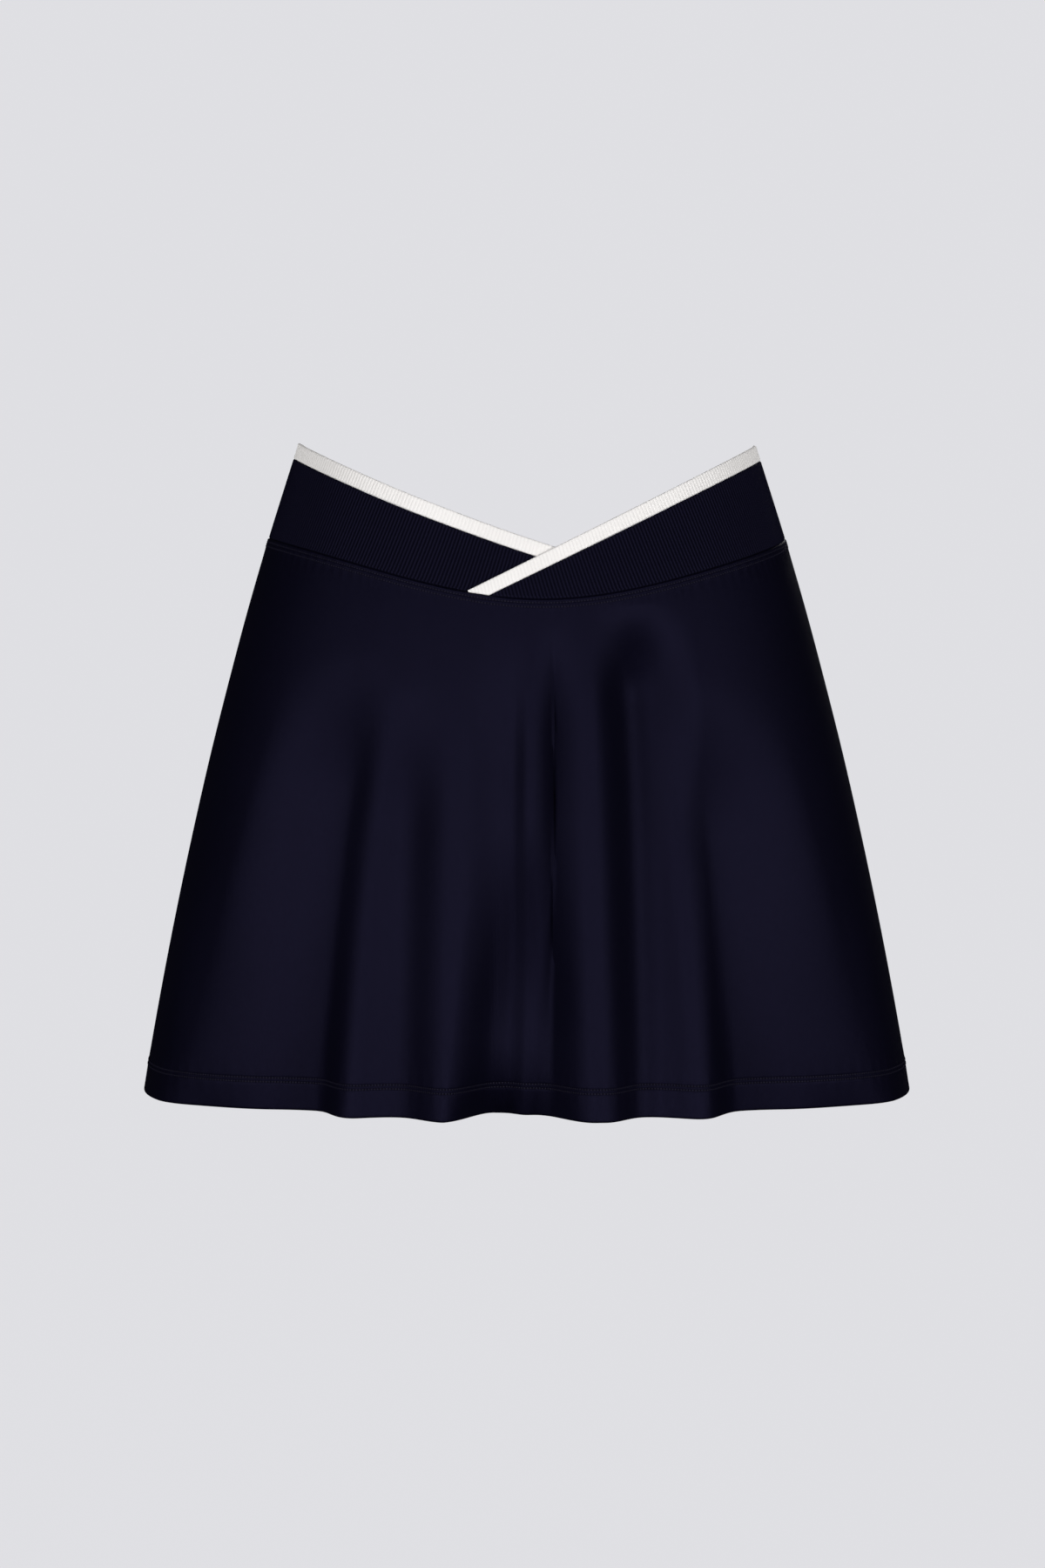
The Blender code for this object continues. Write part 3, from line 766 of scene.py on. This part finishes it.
class Nodes:
    """A material's nodes, made by short calls."""

    def __init__(self, name):
        self.material = bpy.data.materials.new(name)
        self.material.use_nodes = True
        self.tree = self.material.node_tree
        self.shader = self.tree.nodes["Principled BSDF"]

    def node(self, kind, **settings):
        made = self.tree.nodes.new(kind)
        for key, value in settings.items():
            setattr(made, key, value)
        return made

    def feed(self, socket, value):
        if isinstance(value, bpy.types.NodeSocket):
            self.tree.links.new(value, socket)
        else:
            socket.default_value = value

    def math(self, operation, *values):
        made = self.node("ShaderNodeMath", operation=operation)
        for socket, value in zip(made.inputs, values):
            self.feed(socket, value)
        return made.outputs[0]

    def mix(self, share, first, second):
        made = self.node("ShaderNodeMix", data_type="RGBA")
        self.feed(made.inputs["Factor"], share)
        for socket, value in zip([s for s in made.inputs if s.type == "RGBA"], (first, second)):
            self.feed(socket, value if isinstance(value, bpy.types.NodeSocket) else (*value, 1.0))
        return next(s for s in made.outputs if s.type == "RGBA")

    def noise(self, scale, detail=2.0):
        made = self.node("ShaderNodeTexNoise")
        place = self.node("ShaderNodeTexCoord").outputs["Object"]
        self.feed(made.inputs["Vector"], place)
        made.inputs["Scale"].default_value = scale
        made.inputs["Detail"].default_value = detail
        return made.outputs["Fac"]

    def bump(self, height, distance, strength, before=None):
        made = self.node("ShaderNodeBump")
        made.inputs["Distance"].default_value = distance
        made.inputs["Strength"].default_value = strength
        self.feed(made.inputs["Height"], height)
        if before is not None:
            self.feed(made.inputs["Normal"], before)
        return made.outputs["Normal"]

    def weave(self):
        """Along the cloth, up it, and the share of a groove, which sets the painted shade."""
        stored = self.node("ShaderNodeAttribute", attribute_name="weave")
        split = self.node("ShaderNodeSeparateXYZ")
        self.feed(split.inputs[0], stored.outputs["Vector"])
        return split.outputs

    def knit_height(self, along, up, wale, course):
        """Columns of V-shaped knit loops, as a height from 0 to 1."""
        column = self.math("FRACT", self.math("DIVIDE", along, wale))
        aside = self.math("ABSOLUTE", self.math("SUBTRACT", column, 0.5))
        row = self.math("DIVIDE", up, course)
        slant = self.math("ADD", row, self.math("MULTIPLY", aside, LOOP_SLANT))
        loop = self.math("SINE", self.math("MULTIPLY", slant, 2 * pi))
        crown = self.math("SUBTRACT", 1.0, self.math("POWER", self.math("MULTIPLY", aside, 2.0), 2.0))
        return self.math("MULTIPLY", crown, self.math("MULTIPLY_ADD", loop, 0.25, 0.75))


# A knit's two near colours, its gloss, the pitch of its loops' columns and rows, its bump's strength,
# the shade painted into its grooves (1 is darkest), how much rougher they are, and its sheen
Knit = namedtuple(
    "Knit",
    "dark light roughness specular tint wale course bump groove_shade groove_rough sheen",
    defaults=(0.0,),
)
SHEEN_TINT = (1.0, 0.97, 0.93)
SHEEN_ROUGHNESS = 0.4

# Patches where the colour drifts and fine fuzz: how often, how strong, and how high the bumps are
PATCH_SCALE = 14.0
PATCH_DETAIL = 3.0
PATCH_STRENGTH = 1.6
FUZZ_SCALE = 1400.0
FUZZ_DETAIL = 1.0
FUZZ_STRENGTH = 0.5
FUZZ_ROUGHNESS = 0.12
FUZZ_BUMP = 0.00006
LOOP_BUMP = 0.00012
LOOP_SLANT = 1.6
# How dark the painted shade in grooves gets, as a share of the dark colour
PAINTED_SHADE_TONE = 0.25


def knit_material(name, knit):
    nodes = Nodes(name)
    along, up, groove = nodes.weave()
    patches = nodes.noise(PATCH_SCALE, PATCH_DETAIL)
    fuzz = nodes.noise(FUZZ_SCALE, FUZZ_DETAIL)
    share = nodes.math("MULTIPLY_ADD", nodes.math("SUBTRACT", patches, 0.5), PATCH_STRENGTH, 0.5)
    fuzz_share = nodes.math("MULTIPLY", nodes.math("SUBTRACT", fuzz, 0.5), FUZZ_STRENGTH)
    share = nodes.math("ADD", share, fuzz_share)
    colour = nodes.mix(share, knit.dark, knit.light)
    # Painted shade: the colour darkens where the weave marks a rib groove, a sewn channel or a
    # stitch's end
    painted_shade = nodes.math("MULTIPLY", groove, knit.groove_shade)
    colour = nodes.mix(painted_shade, colour, tuple(value * PAINTED_SHADE_TONE for value in knit.dark))
    nodes.feed(nodes.shader.inputs["Base Color"], colour)
    smoothest = knit.roughness - FUZZ_ROUGHNESS / 2
    rough = nodes.math("MULTIPLY_ADD", fuzz, FUZZ_ROUGHNESS, smoothest)
    rough = nodes.math("MULTIPLY_ADD", groove, knit.groove_rough, rough)
    nodes.feed(nodes.shader.inputs["Roughness"], rough)
    loops = nodes.knit_height(along, up, knit.wale, knit.course)
    normal = nodes.bump(loops, LOOP_BUMP, knit.bump)
    normal = nodes.bump(fuzz, FUZZ_BUMP, knit.bump, normal)
    nodes.feed(nodes.shader.inputs["Normal"], normal)
    nodes.shader.inputs["Specular IOR Level"].default_value = knit.specular
    nodes.shader.inputs["Specular Tint"].default_value = (*knit.tint, 1.0)
    nodes.shader.inputs["Sheen Weight"].default_value = knit.sheen
    nodes.shader.inputs["Sheen Roughness"].default_value = SHEEN_ROUGHNESS
    nodes.shader.inputs["Sheen Tint"].default_value = (*SHEEN_TINT, 1.0)
    return nodes.material


SKIRT_KNIT = Knit(
    dark=(0.0006, 0.0005, 0.0025), light=(0.0010, 0.0008, 0.0038), roughness=0.58,
    specular=0.152, tint=(0.47, 0.44, 1.0),
    wale=0.00062, course=0.00052, bump=0.5, groove_shade=0.5, groove_rough=0.35,
)
BAND_KNIT = Knit(
    dark=(0.0013, 0.0012, 0.0040), light=(0.0021, 0.0019, 0.0058), roughness=0.62,
    specular=0.168, tint=(0.47, 0.44, 1.0),
    wale=0.00100, course=0.00080, bump=0.6, groove_shade=0.85, groove_rough=0.38,
)
TIP_KNIT = Knit(
    dark=(0.84, 0.815, 0.80), light=(0.90, 0.88, 0.865), roughness=0.80,
    specular=0.20, tint=(1.0, 1.0, 1.0),
    wale=0.00100, course=0.00080, bump=0.6, groove_shade=0.10, groove_rough=0.0, sheen=0.05,
)
SHORTS_KNIT = Knit(
    dark=(0.0014, 0.0012, 0.0040), light=(0.0022, 0.0019, 0.0056), roughness=0.78,
    specular=0.08, tint=(0.50, 0.46, 1.0),
    wale=0.00070, course=0.00060, bump=0.5, groove_shade=0.0, groove_rough=0.0,
)
THREAD = Knit(
    dark=(0.0036, 0.0032, 0.0092), light=(0.0055, 0.0049, 0.0128), roughness=0.55,
    specular=0.22, tint=(0.70, 0.66, 1.0),
    wale=0.00040, course=0.00040, bump=0.1, groove_shade=0.95, groove_rough=0.45,
)


# Studio


def studio_material():
    """A plain tone that glows by itself, so that no lamp or shadow marks it."""
    nodes = Nodes("studio_floor")
    darker = tuple(value * STUDIO_MOTTLE for value in STUDIO_COLOUR)
    tone = nodes.mix(nodes.noise(STUDIO_MOTTLE_SCALE), darker, STUDIO_COLOUR)
    base = nodes.mix(STUDIO_DIFFUSE, (0.0, 0.0, 0.0), tone)
    nodes.feed(nodes.shader.inputs["Base Color"], base)
    nodes.feed(nodes.shader.inputs["Emission Color"], tone)
    nodes.shader.inputs["Emission Strength"].default_value = 1.0
    nodes.shader.inputs["Roughness"].default_value = 0.9
    nodes.shader.inputs["Specular IOR Level"].default_value = 0.0
    return nodes.material


def studio_floor():
    """A pale floor whose edge curves up all round into a plain wall."""
    profile = [(0.0, FLOOR_HEIGHT)]
    for i in range(COVE_STEPS + 1):
        turn = pi / 2 * i / COVE_STEPS
        radius = STUDIO_RADIUS - COVE_RADIUS + COVE_RADIUS * sin(turn)
        profile.append((radius, FLOOR_HEIGHT + COVE_RADIUS * (1 - cos(turn))))
    profile.append((STUDIO_RADIUS, WALL_TOP))
    points, faces = [], []
    for radius, height in profile:
        for i in range(STUDIO_SIDES):
            turn = 2 * pi * i / STUDIO_SIDES
            points.append((radius * cos(turn), radius * sin(turn), height))
    for ring in range(len(profile) - 1):
        start, after = ring * STUDIO_SIDES, (ring + 1) * STUDIO_SIDES
        for i in range(STUDIO_SIDES):
            j = (i + 1) % STUDIO_SIDES
            faces.append((start + i, start + j, after + j, after + i))
    mesh = bpy.data.meshes.new("studio_floor")
    mesh.from_pydata(points, [], faces)
    mesh.shade_smooth()
    floor = bpy.data.objects.new("studio_floor", mesh)
    bpy.context.scene.collection.objects.link(floor)
    mesh.materials.append(studio_material())
    floor.visible_glossy = False
    floor.visible_diffuse = False
    return floor


def area_light(lamp):
    data = bpy.data.lights.new(lamp.name, "AREA")
    data.shape = "DISK"
    data.size = lamp.size
    data.energy = lamp.power
    light = bpy.data.objects.new(lamp.name, data)
    light.location = lamp.place
    facing = Vector(LAMP_AIM) - Vector(lamp.place)
    light.rotation_euler = facing.to_track_quat("-Z", "Y").to_euler()
    bpy.context.scene.collection.objects.link(light)
    return light


def light_only(name, lights, pieces):
    """Lights that fall on these pieces only."""
    group = bpy.data.collections.new(name)
    for piece in pieces:
        group.objects.link(piece)
    for light in lights:
        light.light_linking.receiver_collection = group


def world_light():
    world = bpy.data.worlds.new("studio")
    world.use_nodes = True
    background = world.node_tree.nodes["Background"]
    background.inputs["Color"].default_value = (*WORLD_COLOUR, 1.0)
    background.inputs["Strength"].default_value = WORLD_STRENGTH
    bpy.context.scene.world = world


def photo_camera():
    lens = bpy.data.cameras.new("photo_camera")
    lens.lens = CAMERA_LENS
    lens.sensor_width = CAMERA_FILM
    lens.clip_end = CAMERA_REACH
    camera = bpy.data.objects.new("photo_camera", lens)
    camera.location = (CAMERA_SIDE, -CAMERA_DISTANCE, CAMERA_HEIGHT)
    camera.rotation_euler = (radians(90.0 - CAMERA_PITCH), 0.0, 0.0)
    bpy.context.scene.collection.objects.link(camera)
    bpy.context.scene.camera = camera


bpy.context.scene.view_settings.view_transform = "Standard"
bpy.context.scene.view_settings.look = "None"
photo_camera()
world_light()
studio_floor()
for lamp in OPEN_LAMPS:
    area_light(lamp)
back_keys = [area_light(lamp) for lamp in BACK_KEYS]
inside_fill = area_light(INSIDE_FILL)

jersey = knit_material("skirt_jersey", SKIRT_KNIT)
rib_knit = knit_material("rib_knit", BAND_KNIT)
tip_knit = knit_material("tip_knit", TIP_KNIT)
shorts_jersey = knit_material("shorts_jersey", SHORTS_KNIT)
thread = knit_material("thread", THREAD)

skirt_front = skirt_panel(
    "skirt_front_cloth", "skirt_front", 0.0, FRONT_COLUMNS, FRONT_FOLDS, jersey
)
skirt_back = skirt_panel(
    "skirt_back_cloth", "skirt_back", 180.0, BACK_COLUMNS, BACK_FOLDS, jersey
)

side_lap = SIDE_LAP / GARMENT_LEVELS[-1].half_width * 180 / pi
left_side, right_side = -90 - side_lap, 90 + side_lap
back_start, back_end = 90 - side_lap, 270 + side_lap
under_band_end = meeting_angle(under_edge, 0.0, RIGHT_MEETING)
under_tip_end = meeting_angle(under_edge, TIP_HEIGHT, RIGHT_MEETING)
over_band_end = meeting_angle(over_edge, 0.0, LEFT_MEETING)
over_tip_end = meeting_angle(over_edge, TIP_HEIGHT, LEFT_MEETING)
under_band = band_piece(
    "waistband_front_under_knit", "waistband_front_under", behind_the_other,
    left_side, under_band_end, under_edge, RIB_LEAN, FRONT_BAND_ROWS, rib_knit,
)
over_band = band_piece(
    "waistband_front_over_knit", "waistband_front_over", flush,
    over_band_end, right_side, over_edge, -RIB_LEAN, FRONT_BAND_ROWS, rib_knit,
)
back_band = band_piece(
    "waistband_back_knit", "waistband_back", flush,
    back_start, back_end, back_edge, 0.0, BACK_BAND_ROWS, rib_knit,
)
under_tip = tip_piece(
    "tip_front_under_knit", "tip_front_under", behind_the_other,
    left_side, under_tip_end, under_edge, RIB_LEAN, tip_knit,
)
over_tip = tip_piece(
    "tip_front_over_knit", "tip_front_over", flush,
    over_tip_end, right_side, over_edge, -RIB_LEAN, tip_knit,
)
back_tip = tip_piece(
    "tip_back_knit", "tip_back", flush, back_start, back_end, back_edge, 0.0, tip_knit
)
shorts_right = shorts_leg("shorts_right_cloth", "shorts_right", 1, shorts_jersey)
shorts_left = shorts_leg("shorts_left_cloth", "shorts_left", -1, shorts_jersey)

sewing = {}
for side, folds, centre in (("front", FRONT_FOLDS, 0.0), ("back", BACK_FOLDS, 180.0)):
    surface = skirt_surface(folds)
    first, last = centre - SEWING_END, centre + SEWING_END
    waist_lines = [below_seam(row) for row in WAIST_ROWS]
    hem_lines = [above_hem(row) for row in HEM_ROWS]
    sewing[side] = [
        stitches(f"waist_stitches_{side}", surface, waist_lines, first, last, thread),
        stitches(f"hem_stitches_{side}", surface, hem_lines, first, last, thread),
    ]

# The back's keys leave the front dark at its sides, as in the photo
back_pieces = [skirt_back, back_band, back_tip, under_tip, over_tip, *sewing["back"]]
light_only("back_lit", back_keys, back_pieces)
light_only("inside_lit", [inside_fill], [shorts_right, shorts_left])

# A record for the flat cut of what shows of a piece, in metres and square metres
Cut = namedtuple("Cut", "piece width length area held hangs_from sewn")
